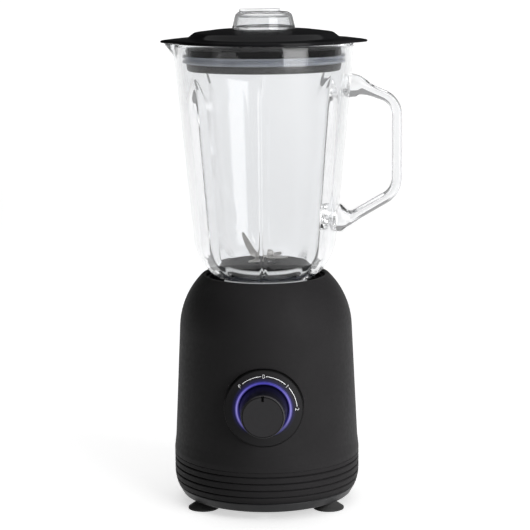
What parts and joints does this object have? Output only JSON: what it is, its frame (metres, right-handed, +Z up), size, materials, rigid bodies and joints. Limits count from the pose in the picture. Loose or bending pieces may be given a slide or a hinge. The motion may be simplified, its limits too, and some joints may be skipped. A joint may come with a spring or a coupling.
{
  "type": "countertop blender",
  "caption": "Countertop blender: fluted glass jug with handle, spout, lid and measuring cap, on a domed black motor base with a lit rotary knob and suction feet.",
  "frame": {"origin": "on the floor plane under the drive axis, in the middle of the four feet", "axes": "+Z up along the drive axis, -Y towards the control knob, +X towards the jug handle"},
  "size_m": [0.1902, 0.1762, 0.395],
  "materials": {
    "soft_black": "soft-touch charcoal black, fine grain",
    "seat_black": "plain black moulding",
    "satin_black": "satin black",
    "gloss_black": "polished black",
    "foot_rubber": "dull black rubber",
    "seal_rubber": "translucent blue-grey silicone",
    "light_ring": "glowing violet-blue light guide",
    "circuit_board": "green board",
    "switch_body": "dark grey moulding",
    "coupling_black": "hard black moulding",
    "steel": "bright steel",
    "blade_steel": "ground stainless steel",
    "bracket_alloy": "cast alloy",
    "core_iron": "laminated iron",
    "copper": "lacquered copper",
    "brass": "turned brass",
    "carbon": "carbon block",
    "clear_glass": "clear pressed glass",
    "clear_plastic": "clear moulding"
  },
  "bodies": {
    "base": {"housing": "soft_black", "base_ring": "soft_black", "bottom_cover": "seat_black", "foot_front_left": "foot_rubber", "foot_front_right": "foot_rubber", "foot_rear_left": "foot_rubber", "foot_rear_right": "foot_rubber", "cover_screws": "steel", "housing_screws": "steel", "cord_gland": "foot_rubber", "jug_seat": "seat_black", "seat_screws": "steel", "control_bezel": "satin_black", "light_ring": "light_ring", "led_board": "circuit_board", "rotary_switch": "switch_body", "switch_nut": "steel", "upper_bracket": "bracket_alloy", "lower_bracket": "bracket_alloy", "upper_bearing": "steel", "lower_bearing": "steel", "stator_core": "core_iron", "field_coils": "copper", "brush_holders": "brass", "carbon_brushes": "carbon", "motor_grommets": "foot_rubber", "motor_screws": "steel", "bracket_bolts": "steel"},
    "rotor": {"motor_shaft": "steel", "rotor_core": "core_iron", "rotor_windings": "copper", "commutator": "copper", "cooling_fan": "switch_body", "drive_coupling": "coupling_black"},
    "knob": {"knob": "satin_black", "knob_spindle": "steel"},
    "jug": {"glass_jug": "clear_glass", "jug_collar": "gloss_black", "jug_gasket": "seal_rubber", "blade_carrier": "seat_black", "blade_bush": "brass", "shaft_seal": "foot_rubber"},
    "blades": {"blade_shaft": "steel", "shaft_clip": "steel", "blade_washer": "steel", "lower_blade": "blade_steel", "upper_blade": "blade_steel", "blade_nut": "blade_steel", "jug_coupling": "coupling_black"},
    "lid": {"lid": "gloss_black", "lid_seal": "seal_rubber"},
    "cap": {"measuring_cap": "clear_plastic"}
  },
  "joints": [
    {"name": "jug_lift", "type": "slide", "parent": "base", "child": "jug", "axis": [0, 0, 1], "range_m": [0, 0.06]},
    {"name": "lid_lift", "type": "slide", "parent": "jug", "child": "lid", "axis": [0, 0, 1], "range_m": [0, 0.06]},
    {"name": "cap_lift", "type": "slide", "parent": "lid", "child": "cap", "axis": [0, 0, 1], "range_m": [0, 0.04]},
    {"name": "motor_spin", "type": "hinge", "parent": "base", "child": "rotor", "pos_m": [0, 0, 0.1], "axis": [0, 0, 1], "continuous": true},
    {"name": "blade_spin", "type": "hinge", "parent": "jug", "child": "blades", "pos_m": [0, 0, 0.19], "axis": [0, 0, 1], "continuous": true},
    {"name": "knob_turn", "type": "hinge", "parent": "base", "child": "knob", "pos_m": [0, -0.0865, 0.0916], "axis": [0, 1, 0], "range_deg": [-45, 90]}
  ],
  "couplings": [
    {"joint": "blade_spin", "follows": "motor_spin", "ratio": 1}
  ]
}
